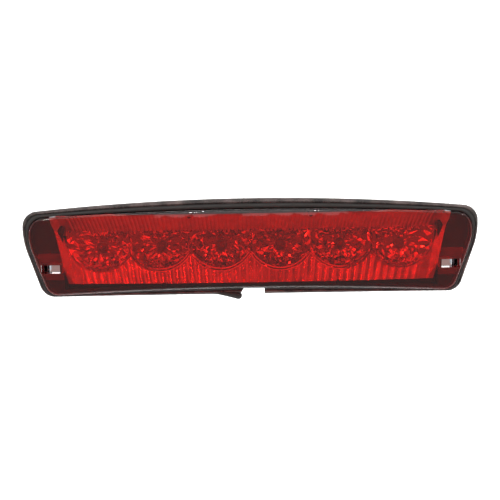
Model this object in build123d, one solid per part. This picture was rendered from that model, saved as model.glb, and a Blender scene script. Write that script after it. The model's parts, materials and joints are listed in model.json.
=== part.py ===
"""Third brake light of a van or estate car: a red lens bonded to a black housing, with a six-cup
reflector and a board of six light-emitting diodes between them, a rubber seal round the flange,
and two spring clips that a blade through the end slots releases.

Row frame, millimetres: +X along the lamp, +Z up, -Y out of the lens towards the traffic behind.
The origin lies on the plane of the rest pads, midway between the two locating pegs.
"""
from build123d import *
import math
import os

# --- Driving dimensions ---------------------------------------------------------------------------
# Depths are Y values, and more negative means nearer the front.
LENS_CROWN = -34.0          # foremost point of the lens
PLAN_RADIUS = 1500.0        # the lens's sweep along its length
CROWN_RADIUS = 160.0        # the lens's crown from bottom to top
LENS_WALL = 2.0             # thickness of the lens's front
SKIRT_WALL = 1.8
LENS_EDGE_ROUND = 2.0
BOND_THICK = 0.6
FLANGE_FRONT = -16.0
FLANGE_THICK = 2.0
FLANGE_REACH = 2.5          # how far the flange stands out past the lens, into the seal
BACK_FACE = -1.0            # outer face of the back wall; the rest pads stand 1 mm proud of it
BACK_INNER = -3.2
HOUSING_WALL = 2.2
BODY_INSET = 1.0            # the rear body is this much inside the lens outline
CAVITY_HALF = 144.2         # half length of the housing's cavity

SEAL_FRONT = -21.5
SEAL_BACK = -12.0
SEAL_ROUND = 2.6
SEAL_BOTTOM = -37.0
SEAL_GAP = (-4.6, 10.4)     # the strip's two ends leave the bottom open between these X values
LIP_LENGTH = 20.0           # the lip that has come away from the strip at its left end
LIP_DROP = 1.3
LIP_RADIUS = 2.2

CUP_COUNT = 6
CUP_PITCH = 46.0
CUP_SIDES = 14
CUP_BACK = -11.0
# (radius, share of the cup's depth, height of centre) of its facet rings, from the front inwards
CUP_RINGS = ((25.0, 1.9, 4.4), (23.8, 1.0, 3.8), (18.6, 0.5, 2.2), (12.0, 0.16, 0.8), (6.2, 0.0, 0.0))
LED_HOLE_RADIUS = 5.3
REFLECTOR_WALL = 1.2
LENS_CLEARANCE = 0.8
# (Y, Z) of the reflector's fold lines at its middle, from which they follow the lens's sweep
PLATE_FOOT = (-27.0, -26.4)
PLATE_KNEE = (-22.0, -1.0)
CEILING_BACK = (-19.5, 13.5)
CEILING_FRONT = (-29.5, 25.7)
TRAY_HALF_TOP = 150.0        # at the height of the shoulder
TRAY_HALF_FOOT = 137.8
TRAY_SHOULDER = 19.5
END_DRAFT = (7.5, 7.5)      # the end walls close in by the first over a depth of the second
END_FRONT = -23.6
FLUTE_COUNT = 48
FLUTE_HEIGHT = 0.7
FLUTES_HALF = 135.5
FLUTES_FAN = 0.16           # how much wider each end of the row gets per mm of height
REFLECTOR_SCREWS = ((-46.0, 24.2), (0.0, 24.6), (46.0, 24.2), (-66.0, -27.2), (66.0, -27.2))
REFLECTOR_BOSS = 2.6
REFLECTOR_HEAD = 1.7
REFLECTOR_HEAD_BACK = -26.0
REFLECTOR_SCREW_END = -9.0
SCREW_SHANK = 0.9
SCREW_HEAD_THICK = 1.4
RECESS = (0.5, 2.0, 0.7)    # width, length and depth of a screw's cross recess

BOARD_FRONT = -9.0
BOARD_THICK = 1.6
BOARD_SIZE = (284.0, 34.0)
BOARD_SCREW_X = (-92.0, -46.0, 46.0, 92.0)
BOARD_SCREW_HEAD = 2.6
BOARD_BOSS = 3.2
PACKAGE_SIDE = 7.6
PACKAGE_HEIGHT = 3.0
DOME_RADIUS = 2.5
DOME_NECK = 0.8
# (X, Z) of the parts on the board's back
RESISTOR_AT = (13.0, 9.0)   # from each diode
POLARITY_DIODES_AT = ((-16.0, -11.0), (16.0, -11.0))
SURGE_SUPPRESSOR_AT = (30.0, -11.0)
CAPACITORS_AT = ((-30.0, -11.0), (-38.0, -11.0))

SLOT_X = (145.3, 160.0)     # the release slot, on each end
SLOT_Z = -14.8
SLOT_HEIGHT = 6.4
SHAFT_HEIGHT = 10.4         # the slot's shaft is taller behind the deck, to take the clip
SHAFT_WALL = 2.0
DECK_THICK = 4.0            # the housing's wall in front of each end pocket
COLLAR_WALL = 1.4
FOOT_X = (144.1, 162.5)     # the collar's foot, bonded to the housing's deck
FOOT_Z = (-24.5, -3.0)
FOOT_THICK = 1.6

PEG_SPACING = 150.0
PEG_RADIUS = 3.0
PEG_LENGTH = 9.0
PEG_POINT = 0.8
PEG_SHANK = 3.6             # radius of the stouter shank inside the back wall
PEG_HEAD = (4.8, 1.5)       # radius and thickness of the head on the back wall's inner face
PAD_RADIUS = 6.5
REST_PADS = ((-128.0, 19.0), (128.0, 19.0), (-118.0, -22.0), (118.0, -22.0))
BACK_RIBS_AT = [(x, z) for x in (-100.0, -50.0, 50.0, 100.0) for z in (-9.0, 9.0)]
BACK_RIB = (40.0, 1.2, 0.7)  # length, width and height

CLIP_PIN = (158.3, -11.0)   # (X, Y) of the pivot pin
CLIP_PIN_RADIUS = 0.8
CLIP_PIN_PLAY = 0.05
CLIP_THICK = 0.65
CLIP_WIDTH = 8.0
CLIP_NOSE = (163.2, 2.3)
CLIP_TIP = (160.4, 8.6)
CLIP_SHOULDER_Y = 0.9

SOCKET_SIZE = (22.0, 12.0)
SOCKET_WALL = 1.6
SOCKET_MOUTH = 12.0
SOCKET_FLOOR = 0.6
SOCKET_KEYS_X = (-8.0, 8.0)
SOCKET_KEY = 1.4
TERMINAL_X = (-4.0, 4.0)
TERMINAL_SIDE = 0.8
TERMINAL_END = 6.5
GASKET_WALL = 2.5
GASKET_THICK = 2.0
VENT_AT = (-44.0, 16.0)
VENT_CAP = (5.0, 2.4)       # radius and thickness
VENT_STEM = 2.5
VENT_BORE = 1.2
VENT_LIP = 0.8              # the stem stands this far into the cavity
MEMBRANE_THICK = 0.3
FAR = 60.0


# --- Outlines in the front view -------------------------------------------------------------------
def outline(top, top_sag, bottom, bottom_sag, side, knee, foot, rounds):
    """Arched band, symmetric about X = 0. top and bottom are its heights at the middle, and each
    edge drops by its sag on the way to the corners. side is the half width above the knee, and foot
    is the half width at the bottom. rounds are the radii at the top corner, knee and foot."""
    corners = ((side, top - top_sag), (side, knee), (foot, bottom - bottom_sag))
    (top_right, knee_right, foot_right) = corners
    (top_left, knee_left, foot_left) = [(-x, z) for x, z in corners]
    floor = Line(foot_right, foot_left)
    if bottom_sag:
        floor = ThreePointArc(foot_right, (0, bottom), foot_left)
    face = make_face(
        [
            ThreePointArc(top_left, (0, top), top_right),
            Line(top_right, knee_right),
            Line(knee_right, foot_right),
            floor,
            Line(foot_left, knee_left),
            Line(knee_left, top_left),
        ]
    )
    for (x, z), radius in zip(corners, rounds):
        for side_x in (x, -x):
            vertex = face.vertices().sort_by_distance((side_x, z, 0))[0]
            face = fillet(vertex, radius)
    return face


def lens_outline(inset=0.0):
    """The lens's edge, or a curve that much inside it."""
    face = outline(29.0, 5.3, -30.5, 5.7, 169.2, 5.0, 155.2, (12.0, 36.0, 10.0))
    return offset(face, amount=-inset) if inset else face


def seal_outline(inset=0.0):
    """The outer edge of the rubber seal. Its bottom runs straight under the arched lens."""
    face = outline(36.8, 8.7, SEAL_BOTTOM, 0.0, 174.8, 6.4, 160.0, (11.5, 58.0, 12.0))
    return offset(face, amount=-inset) if inset else face


def flange_outline():
    """The housing's flange, which stays inside the seal where the two edges draw close."""
    return lens_outline(-FLANGE_REACH) & seal_outline(0.8)


def tray_outline(grow=0.0):
    """The reflector tray's opening: an arched top over a straight bottom, with leaning ends."""
    half_top, half_foot = TRAY_HALF_TOP + grow, TRAY_HALF_FOOT + grow
    top, shoulder, foot = CEILING_FRONT[1] + grow, TRAY_SHOULDER + grow, PLATE_FOOT[1] - grow
    return make_face(
        [
            ThreePointArc((-half_top, shoulder), (0, top), (half_top, shoulder)),
            Line((half_top, shoulder), (half_foot, foot)),
            Line((half_foot, foot), (-half_foot, foot)),
            Line((-half_foot, foot), (-half_top, shoulder)),
        ]
    )


# --- Solid helpers --------------------------------------------------------------------------------
def slab(face, front, back):
    """Extrudes a front-view outline from its back depth to its front depth."""
    return extrude(Pos(0, back, 0) * (Plane.XZ * face), back - front)


def block(x, y, z):
    """Box from (low, high) pairs."""
    size = [high - low for low, high in (x, y, z)]
    centre = [(low + high) / 2 for low, high in (x, y, z)]
    return Pos(*centre) * Box(*size)


def around(x, z, width, height, front, back):
    """Box of a width and height centred on (x, z), between two depths."""
    return block((x - width / 2, x + width / 2), (front, back), (z - height / 2, z + height / 2))


def post(x, z, radius, front, back):
    """Cylinder along Y between two depths."""
    return Pos(x, (front + back) / 2, z) * Rot(90, 0, 0) * Cylinder(radius, back - front)


def both_ends(shape):
    return shape + mirror(shape, about=Plane.YZ)


def swept_with_lens(profile):
    """Sweeps a YZ profile along the lamp, round the lens's plan centre."""
    axis = Axis((0, LENS_CROWN + PLAN_RADIUS, 0), (0, 0, 1))
    turn = 16.0
    return revolve(Plane.YZ * profile, axis, turn).rotate(axis, -turn / 2)


def behind_crown(depth):
    """Everything behind the lens's doubly curved front, moved back by a depth."""
    front = LENS_CROWN + depth
    sag = CROWN_RADIUS - math.sqrt(CROWN_RADIUS**2 - FAR**2)
    profile = make_face(
        [
            ThreePointArc((front + sag, -FAR), (front, 0), (front + sag, FAR)),
            Line((front + sag, FAR), (FAR, FAR)),
            Line((FAR, FAR), (FAR, -FAR)),
            Line((FAR, -FAR), (front + sag, -FAR)),
        ]
    )
    return swept_with_lens(profile)


def slot_shaft(front, back, height=SLOT_HEIGHT):
    """The straight way through one end for the release blade."""
    return block(SLOT_X, (front, back), (SLOT_Z - height / 2, SLOT_Z + height / 2))


def cup_places():
    first = -CUP_PITCH * (CUP_COUNT - 1) / 2
    return [first + CUP_PITCH * i for i in range(CUP_COUNT)]


# --- Lens, bond and seal --------------------------------------------------------------------------
LENS_BACK = FLANGE_FRONT - BOND_THICK


def make_lens():
    """Red moulding: crowned front, skirt, and a footed collar behind each release slot."""
    outer = slab(lens_outline(), -FAR, LENS_BACK) & behind_crown(0)
    rim = outer.faces().sort_by(Axis.Y)[0].edges()
    outer = fillet(rim, LENS_EDGE_ROUND)
    inside = slab(lens_outline(SKIRT_WALL), -FAR, LENS_BACK)
    shell = outer - (inside & behind_crown(LENS_WALL))
    half = SLOT_HEIGHT / 2 + COLLAR_WALL
    collar = block(
        (SLOT_X[0] - COLLAR_WALL, SLOT_X[1] + COLLAR_WALL),
        (LENS_CROWN, LENS_BACK),
        (SLOT_Z - half, SLOT_Z + half),
    )
    foot = block(FOOT_X, (LENS_BACK - FOOT_THICK, LENS_BACK), FOOT_Z)
    collar = (collar + foot) & slab(lens_outline(1.0), -FAR, LENS_BACK) & behind_crown(1.0)
    return shell + both_ends(collar) - both_ends(slot_shaft(-FAR, FAR))


def make_bond_bead():
    """Adhesive between the lens and the housing: a ring under the skirt, and one round each slot."""
    ring = slab(lens_outline(0.2) - lens_outline(SKIRT_WALL - 0.2), LENS_BACK, FLANGE_FRONT)
    pad = block((SLOT_X[0] - 1.0, 163.5), (LENS_BACK, FLANGE_FRONT), (FOOT_Z[0] + 0.6, FOOT_Z[1] - 0.6))
    pad = pad & slab(lens_outline(0.4), LENS_BACK, FLANGE_FRONT)
    return ring + both_ends(pad) - both_ends(slot_shaft(-FAR, FAR, SLOT_HEIGHT + 0.4))


def seal_lip():
    """The lip that has peeled off the strip beside its left end, and droops to a rounded tip."""
    depth = SEAL_FRONT + SEAL_ROUND + 0.6
    tip = Vector(SEAL_GAP[0] - LIP_RADIUS, depth, SEAL_BOTTOM - LIP_DROP)
    root = tip + Vector(-LIP_LENGTH, 0, LIP_DROP + LIP_RADIUS)
    rod = Solid.make_cylinder(LIP_RADIUS, (tip - root).length, Plane(root, z_dir=tip - root))
    return rod + Pos(*tip) * Sphere(LIP_RADIUS)


def make_seal():
    """Rubber strip that grips the flange's edge, with its two ends at the bottom."""
    band = slab(seal_outline(), SEAL_FRONT, SEAL_BACK)
    rim = band.faces().sort_by(Axis.Y)[0].edges()
    band = fillet(rim, SEAL_ROUND) - slab(lens_outline(), -FAR, FAR)
    band = band - slab(flange_outline(), FLANGE_FRONT, FLANGE_FRONT + FLANGE_THICK)
    band = band - both_ends(shaft_box())
    return band - block(SEAL_GAP, (-FAR, FAR), (-FAR, -20)) + seal_lip()


# --- Reflector ------------------------------------------------------------------------------------
def end_cut(grow):
    """What lies beyond the slanting right end wall of the tray."""
    corner = Vector(TRAY_HALF_TOP, END_FRONT, TRAY_SHOULDER)
    down = Vector(TRAY_HALF_FOOT - TRAY_HALF_TOP, 0, PLATE_FOOT[1] - TRAY_SHOULDER).normalized()
    inward = Vector(-END_DRAFT[0], END_DRAFT[1], 0)
    outward = down.cross(inward).normalized()
    wall = Plane(corner + outward * grow, x_dir=down, z_dir=outward)
    return wall * Pos(0, 0, FAR / 2) * Box(4 * FAR, 4 * FAR, FAR)


def tray_space(grow):
    """The open space in front of the reflector's folded plates, grown by the wall's thickness."""
    slope = (CEILING_FRONT[1] - CEILING_BACK[1]) / (CEILING_FRONT[0] - CEILING_BACK[0])
    above = (CEILING_FRONT[0] - 2.0, CEILING_FRONT[1] - 2.0 * slope)
    profile = make_face(
        Polyline((-FAR, PLATE_FOOT[1]), PLATE_FOOT, PLATE_KNEE, CEILING_BACK, above,
                 (-FAR, above[1]), close=True)
    )
    if grow:
        profile = offset(profile, amount=grow, kind=Kind.INTERSECTION)
    space = swept_with_lens(profile) & slab(tray_outline(grow), -FAR, 0)
    return space - both_ends(end_cut(grow))


def plate_point(share, fold):
    """Point on a fold line, at a share of the fluted half width there."""
    y, z = fold
    x = share * (FLUTES_HALF + FLUTES_FAN * z)
    return Vector(x, LENS_CROWN + PLAN_RADIUS - math.sqrt((LENS_CROWN + PLAN_RADIUS - y) ** 2 - x**2), z)


def plate_flutes(low, high):
    """Round ridges that run up a plate, from one fold line to the other, fanned like its ends."""
    ridges = []
    for i in range(FLUTE_COUNT):
        share = (2 * i + 1) / FLUTE_COUNT - 1
        start, end = plate_point(share, low), plate_point(share, high)
        width = min((plate_point(share + 1 / FLUTE_COUNT, fold) - point).length
                    for fold, point in ((low, start), (high, end))) - 0.15
        along = (end - start).normalized()
        across = (plate_point(share + 0.01, low) - start).normalized()
        sheet = Plane(start - along * 0.5, x_dir=across, z_dir=along)
        front = -1 if sheet.y_dir.Y > 0 else 1
        arc = ThreePointArc((-width, 0), (0, front * FLUTE_HEIGHT), (width, 0))
        root = Polyline((width, 0), (width, -front * 0.3), (-width, -front * 0.3), (-width, 0))
        ridges.append(extrude(sheet * make_face([arc] + root.edges()), (end - start).length + 1.0))
    return ridges


def cup_depth(x, share):
    knee = PLATE_KNEE[0] + x**2 / (2 * PLAN_RADIUS)
    return CUP_BACK + share * (knee - CUP_BACK)


def cup_ring(x, ring, grow):
    """Corners of one facet ring. Every second ring is turned by half a step."""
    radius, share, z = CUP_RINGS[ring]
    corners = []
    for i in range(CUP_SIDES):
        angle = 2 * math.pi * (i + ring % 2 / 2) / CUP_SIDES
        corners.append(Vector(x + (radius + grow) * math.cos(angle), cup_depth(x, share) + grow,
                              z + (radius + grow) * math.sin(angle)))
    return corners


def below_roof(solid, grow):
    """What of a cup lies under the ceiling's back edge."""
    roof = CEILING_BACK[1] + grow
    return solid & around(0, roof - FAR / 2, 8 * FAR, FAR, -FAR, 0)


def facet_cup(x):
    """Cup cut into flat triangular facets."""
    rings = [cup_ring(x, i, 0.0) for i in range(len(CUP_RINGS))]
    faces = [Face(Wire.make_polygon(rings[0])), Face(Wire.make_polygon(rings[-1]))]
    for i, (outer, inner) in enumerate(zip(rings, rings[1:])):
        for j in range(CUP_SIDES):
            k = (j + 1) % CUP_SIDES
            if i % 2 == 0:
                corners = ((outer[j], outer[k], inner[j]), (outer[k], inner[k], inner[j]))
            else:
                corners = ((outer[j], inner[k], inner[j]), (outer[j], outer[k], inner[k]))
            faces += [Face(Wire.make_polygon(triangle)) for triangle in corners]
    return below_roof(Solid(Shell(faces)), 0.0)


def cup_shell(x):
    """The cup's outer shape, a wall's thickness behind its facets."""
    rings = []
    for radius, share, z in CUP_RINGS:
        circle = Plane.XZ * Circle(radius + REFLECTOR_WALL)
        rings.append(Pos(x, cup_depth(x, share) + REFLECTOR_WALL, z) * circle)
    return below_roof(loft(rings, ruled=True), REFLECTOR_WALL) & slab(tray_outline(REFLECTOR_WALL), -FAR, 0)


def make_reflector():
    """Metallised tray with fluted plates and six facetted cups, screwed to the housing's columns."""
    body = tray_space(REFLECTOR_WALL)
    for x in cup_places():
        body = body + cup_shell(x)
    body = body - tray_space(0.0)
    body = body + plate_flutes(PLATE_FOOT, PLATE_KNEE) + plate_flutes(CEILING_BACK, CEILING_FRONT)
    for x in cup_places():
        body = body - facet_cup(x) - post(x, 0, LED_HOLE_RADIUS, CUP_BACK - 1.0, 0)
    for x, z in REFLECTOR_SCREWS:
        body = body + post(x, z, REFLECTOR_BOSS, REFLECTOR_HEAD_BACK, FLANGE_FRONT)
    body = body & slab(lens_outline(SKIRT_WALL + 0.2), -FAR, 0)
    for x, z in REFLECTOR_SCREWS:
        body = body - post(x, z, SCREW_SHANK, -FAR, 0)
        body = body - post(x, z, REFLECTOR_HEAD + 0.3, -FAR, REFLECTOR_HEAD_BACK)
    return body & behind_crown(LENS_WALL + LENS_CLEARANCE)


def screw(x, z, head_radius, head_back, end):
    """Cross-recessed pan-head screw whose head stands in front of its seat."""
    head = post(x, z, head_radius, head_back - SCREW_HEAD_THICK, head_back)
    head = fillet(head.faces().sort_by(Axis.Y)[0].edges(), 0.5)
    width, length, depth = RECESS
    floor = head_back - SCREW_HEAD_THICK + depth
    head = head - around(x, z, width, length, -FAR, floor) - around(x, z, length, width, -FAR, floor)
    return head + post(x, z, SCREW_SHANK, head_back, end)


def make_reflector_screws():
    return [screw(x, z, REFLECTOR_HEAD, REFLECTOR_HEAD_BACK, REFLECTOR_SCREW_END)
            for x, z in REFLECTOR_SCREWS]


# --- Housing --------------------------------------------------------------------------------------
SHAFT_Z = (SLOT_Z - SHAFT_HEIGHT / 2, SLOT_Z + SHAFT_HEIGHT / 2)
PEG_X = (-PEG_SPACING / 2, PEG_SPACING / 2)
BOARD_BACK = BOARD_FRONT + BOARD_THICK


def shaft_box():
    """The walls round one release shaft, behind the deck."""
    return block(
        (SLOT_X[0] - SHAFT_WALL, SLOT_X[1] + SHAFT_WALL),
        (FLANGE_FRONT, BACK_FACE),
        (SHAFT_Z[0] - SHAFT_WALL, SHAFT_Z[1] + SHAFT_WALL),
    )


def end_pocket():
    """The hollow in the back of one end, round the shaft."""
    room = block((CAVITY_HALF + HOUSING_WALL, 4 * FAR), (FLANGE_FRONT + DECK_THICK, FAR), (-FAR, FAR))
    return (room & slab(lens_outline(BODY_INSET + HOUSING_WALL), -FAR, FAR)) - shaft_box()


def clip_pin_hole():
    return Pos(*CLIP_PIN, SLOT_Z) * Cylinder(CLIP_PIN_RADIUS, SHAFT_HEIGHT + 2 * SHAFT_WALL)


def make_housing():
    """Black moulding: flange, rear body, release shafts, bosses, rest pads and ribs."""
    body = slab(flange_outline(), FLANGE_FRONT, FLANGE_FRONT + FLANGE_THICK)
    body = body + slab(lens_outline(BODY_INSET), FLANGE_FRONT, BACK_FACE)
    cavity = slab(lens_outline(BODY_INSET + HOUSING_WALL), -FAR, BACK_INNER)
    body = body - (cavity & block((-CAVITY_HALF, CAVITY_HALF), (-FAR, 0), (-FAR, FAR)))
    for x, z in REFLECTOR_SCREWS:
        column = post(x, z, REFLECTOR_BOSS, FLANGE_FRONT, BACK_INNER)
        body = body + (column & slab(lens_outline(BODY_INSET), -FAR, 0))
        body = body - post(x, z, SCREW_SHANK, -FAR, REFLECTOR_SCREW_END)
    for x in BOARD_SCREW_X:
        body = body + post(x, 0, BOARD_BOSS, BOARD_BACK, BACK_INNER)
        body = body - post(x, 0, SCREW_SHANK, -FAR, BACK_INNER)
    shaft = slot_shaft(-FAR, FAR) + slot_shaft(FLANGE_FRONT + FLANGE_THICK, FAR, SHAFT_HEIGHT)
    body = body - both_ends(end_pocket()) - both_ends(shaft)
    body = body + both_ends(shaft_box() - shaft - clip_pin_hole()) - both_ends(clip_pin_hole())
    body = body - around(0, 0, *SOCKET_SIZE, -FAR, FAR) - post(*VENT_AT, VENT_STEM, -FAR, FAR)
    for x, z in REST_PADS:
        body = body + post(x, z, PAD_RADIUS, BACK_FACE, 0)
    for x in PEG_X:
        body = body + post(x, 0, PAD_RADIUS, BACK_FACE, 0) - post(x, 0, PEG_SHANK, -FAR, FAR)
    length, width, height = BACK_RIB
    for x, z in BACK_RIBS_AT:
        body = body + around(x, z, length, width, BACK_FACE, BACK_FACE + height)
    return body


def make_locating_pegs():
    """Stepped dowels pushed through the back wall from inside, each with a head on its inner face."""
    head_radius, head_thick = PEG_HEAD
    pegs = []
    for x in PEG_X:
        peg = post(x, 0, PEG_RADIUS, 0, PEG_LENGTH)
        peg = chamfer(peg.faces().sort_by(Axis.Y)[-1].edges(), PEG_POINT)
        peg = peg + post(x, 0, PEG_SHANK, BACK_INNER, 0)
        pegs.append(peg + post(x, 0, head_radius, BACK_INNER - head_thick, BACK_INNER))
    return pegs


# --- Board and what it carries --------------------------------------------------------------------
PACKAGE_FRONT = BOARD_FRONT - PACKAGE_HEIGHT


def make_board():
    """Glass-fibre board on the housing's bosses."""
    face = RectangleRounded(*BOARD_SIZE, 3.0)
    board = slab(face, BOARD_FRONT, BOARD_BACK)
    for x in BOARD_SCREW_X:
        board = board - post(x, 0, SCREW_SHANK + 0.3, -FAR, 0)
    for x in TERMINAL_X:
        board = board - around(x, 0, TERMINAL_SIDE + 0.1, TERMINAL_SIDE + 0.1, -FAR, 0)
    return board


def make_led_packages():
    """Square four-legged diode packages, one in each cup."""
    packages = []
    for x in cup_places():
        base = around(x, 0, PACKAGE_SIDE, PACKAGE_SIDE, PACKAGE_FRONT, BOARD_FRONT)
        packages.append(chamfer(base.edges().filter_by(Axis.Y), 0.8))
    return packages


def make_led_domes():
    """The clear dome on each diode."""
    domes = []
    for x in cup_places():
        neck = post(x, 0, DOME_RADIUS, PACKAGE_FRONT - DOME_NECK, PACKAGE_FRONT)
        ball = Pos(x, PACKAGE_FRONT - DOME_NECK, 0) * Sphere(DOME_RADIUS)
        domes.append(neck + (ball & around(x, 0, PACKAGE_SIDE, PACKAGE_SIDE, -FAR, PACKAGE_FRONT)))
    return domes


def chips(places, width, height, thick):
    """Surface-mount parts on the board's back, at (x, z) places."""
    return [around(x, z, width, height, BOARD_BACK, BOARD_BACK + thick) for x, z in places]


def make_board_screws():
    return [screw(x, 0, BOARD_SCREW_HEAD, BOARD_FRONT, BACK_INNER - 0.4) for x in BOARD_SCREW_X]


def make_connector_shell():
    """Two-way socket on the board's back, which looks out through the back wall."""
    shell = around(0, 0, *SOCKET_SIZE, BOARD_BACK, SOCKET_MOUTH)
    shell = fillet(shell.edges().filter_by(Axis.Y), 1.5)
    inner = [size - 2 * SOCKET_WALL for size in SOCKET_SIZE]
    shell = shell - around(0, 0, *inner, SOCKET_FLOOR, FAR)
    for x in SOCKET_KEYS_X:
        top = SOCKET_SIZE[1] / 2 + 0.5
        shell = shell + around(x, top, SOCKET_KEY, SOCKET_KEY, BACK_FACE + 1.0, SOCKET_MOUTH)
    for x in TERMINAL_X:
        shell = shell - around(x, 0, TERMINAL_SIDE, TERMINAL_SIDE, -FAR, SOCKET_FLOOR)
    return shell


def make_terminal_pins():
    return [around(x, 0, TERMINAL_SIDE, TERMINAL_SIDE, BOARD_FRONT - 1.0, TERMINAL_END)
            for x in TERMINAL_X]


def make_connector_gasket():
    """Ring round the socket, on the back wall's inner face."""
    width, height = [size + 2 * GASKET_WALL for size in SOCKET_SIZE]
    outer = around(0, 0, width, height, BACK_INNER - GASKET_THICK, BACK_INNER)
    outer = fillet(outer.edges().filter_by(Axis.Y), 3.0)
    return outer - around(0, 0, *SOCKET_SIZE, -FAR, FAR)


def make_vent_cap():
    """Push-in vent plug: a stem through the back wall under a round cap."""
    radius, thick = VENT_CAP
    cap = post(*VENT_AT, radius, BACK_FACE, BACK_FACE + thick)
    cap = fillet(cap.faces().sort_by(Axis.Y)[-1].edges(), 0.8)
    cap = cap + post(*VENT_AT, VENT_STEM, BACK_INNER - VENT_LIP, BACK_FACE)
    return cap - post(*VENT_AT, VENT_BORE, -FAR, BACK_FACE + thick / 2)


def make_vent_membrane():
    """Disc of film across the stem's inner end."""
    back = BACK_INNER - VENT_LIP
    return post(*VENT_AT, VENT_STEM - 0.1, back - MEMBRANE_THICK, back)


# --- Release clips --------------------------------------------------------------------------------
def make_release_clip():
    """Spring-steel strip: an eye round the pin, a leg along the shaft's outer wall and a nose that
    catches behind the vehicle's panel."""
    pin_x, pin_y = CLIP_PIN
    bore = CLIP_PIN_RADIUS + CLIP_PIN_PLAY
    leg_x = pin_x + bore + CLIP_THICK / 2
    path = Polyline((leg_x, pin_y), (leg_x, CLIP_SHOULDER_Y), CLIP_NOSE, CLIP_TIP)
    strip = trace(path, line_width=CLIP_THICK)
    eye = Pos(pin_x, pin_y) * Circle(bore + CLIP_THICK)
    face = strip + eye - Pos(pin_x, pin_y) * Circle(bore)
    return extrude(Pos(0, 0, SLOT_Z - CLIP_WIDTH / 2) * face, CLIP_WIDTH)


def write(node, solids):
    """One STEP per node; a list becomes a group of separate solids."""
    shape = Compound(children=solids) if isinstance(solids, list) else solids
    export_step(shape, f"parts/{node}.step")


def main():
    os.makedirs("parts", exist_ok=True)
    resistors_at = [(x + RESISTOR_AT[0], RESISTOR_AT[1]) for x in cup_places()]
    clip, pin = make_release_clip(), clip_pin_hole()
    nodes = {
        "lens": make_lens(),
        "bond_bead": make_bond_bead(),
        "perimeter_seal": make_seal(),
        "reflector": make_reflector(),
        "reflector_screws": make_reflector_screws(),
        "housing": make_housing(),
        "locating_pegs": make_locating_pegs(),
        "circuit_board": make_board(),
        "led_packages": make_led_packages(),
        "led_domes": make_led_domes(),
        "resistors": chips(resistors_at, 6.3, 3.2, 0.6),
        "polarity_diodes": chips(POLARITY_DIODES_AT, 5.2, 2.6, 2.0),
        "surge_suppressor": chips([SURGE_SUPPRESSOR_AT], 6.8, 5.9, 2.3),
        "ceramic_capacitors": chips(CAPACITORS_AT, 3.2, 1.6, 1.2),
        "board_screws": make_board_screws(),
        "connector_shell": make_connector_shell(),
        "terminal_pins": make_terminal_pins(),
        "connector_gasket": make_connector_gasket(),
        "vent_cap": make_vent_cap(),
        "vent_membrane": make_vent_membrane(),
        "release_clip_right": clip,
        "release_clip_left": mirror(clip, about=Plane.YZ),
        "clip_pin_right": pin,
        "clip_pin_left": mirror(pin, about=Plane.YZ),
    }
    for node, solids in nodes.items():
        write(node, solids)


main()
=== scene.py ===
"""Looks of the third brake light: red lens, facetted reflector, black housing and rubber seal."""
import bpy
import bmesh
import json
import math
import random
from mathutils import Matrix, Vector


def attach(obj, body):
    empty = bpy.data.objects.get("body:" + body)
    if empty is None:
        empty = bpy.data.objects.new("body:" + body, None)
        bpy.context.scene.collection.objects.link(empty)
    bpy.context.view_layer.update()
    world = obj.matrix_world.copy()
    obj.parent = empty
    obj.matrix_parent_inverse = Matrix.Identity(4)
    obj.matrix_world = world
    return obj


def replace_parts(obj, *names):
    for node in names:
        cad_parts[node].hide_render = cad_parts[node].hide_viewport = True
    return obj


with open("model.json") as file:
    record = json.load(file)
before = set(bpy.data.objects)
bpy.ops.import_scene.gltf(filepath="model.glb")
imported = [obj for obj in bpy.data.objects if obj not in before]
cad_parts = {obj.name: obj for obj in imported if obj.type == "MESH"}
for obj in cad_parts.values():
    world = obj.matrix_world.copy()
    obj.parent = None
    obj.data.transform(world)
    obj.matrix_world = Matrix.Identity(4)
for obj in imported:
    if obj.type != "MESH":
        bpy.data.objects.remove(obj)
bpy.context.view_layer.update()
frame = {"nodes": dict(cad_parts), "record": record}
MM = 0.001
SCENE = bpy.context.scene


# --- Camera ---------------------------------------------------------------------------------------
CAMERA_DISTANCE = 600 * MM
CAMERA_ELEVATION = math.radians(6.0)
CAMERA_AZIMUTH = math.radians(0.0)
CAMERA_ROLL = math.radians(-0.93)
FOCAL_LENGTH, SENSOR_WIDTH = 57.6, 36.0
NEAR_CLIP = 10 * MM
AIM = Vector((-0.4 * MM, -34 * MM, -1.4 * MM))         # the lens's crown


def add_camera():
    """Adds the front camera, a little above the lens and turned a little about its view."""
    data = bpy.data.cameras.new("camera")
    data.lens = FOCAL_LENGTH
    data.sensor_width = SENSOR_WIDTH
    data.clip_start = NEAR_CLIP
    camera = bpy.data.objects.new("camera", data)
    SCENE.collection.objects.link(camera)
    away = Vector((
        math.sin(CAMERA_AZIMUTH) * math.cos(CAMERA_ELEVATION),
        -math.cos(CAMERA_AZIMUTH) * math.cos(CAMERA_ELEVATION),
        math.sin(CAMERA_ELEVATION),
    ))
    place = Matrix.Translation(AIM + away * CAMERA_DISTANCE)
    look = (-away).to_track_quat("-Z", "Y").to_matrix().to_4x4()
    camera.matrix_world = place @ look @ Matrix.Rotation(CAMERA_ROLL, 4, "Z")
    SCENE.camera = camera


# --- Material helpers -----------------------------------------------------------------------------
def linear(hex_colour):
    """sRGB hex to the linear colour that a shader takes."""
    channels = [int(hex_colour[i:i + 2], 16) / 255 for i in (0, 2, 4)]
    return [c / 12.92 if c <= 0.04045 else ((c + 0.055) / 1.055) ** 2.4 for c in channels] + [1.0]


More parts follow.
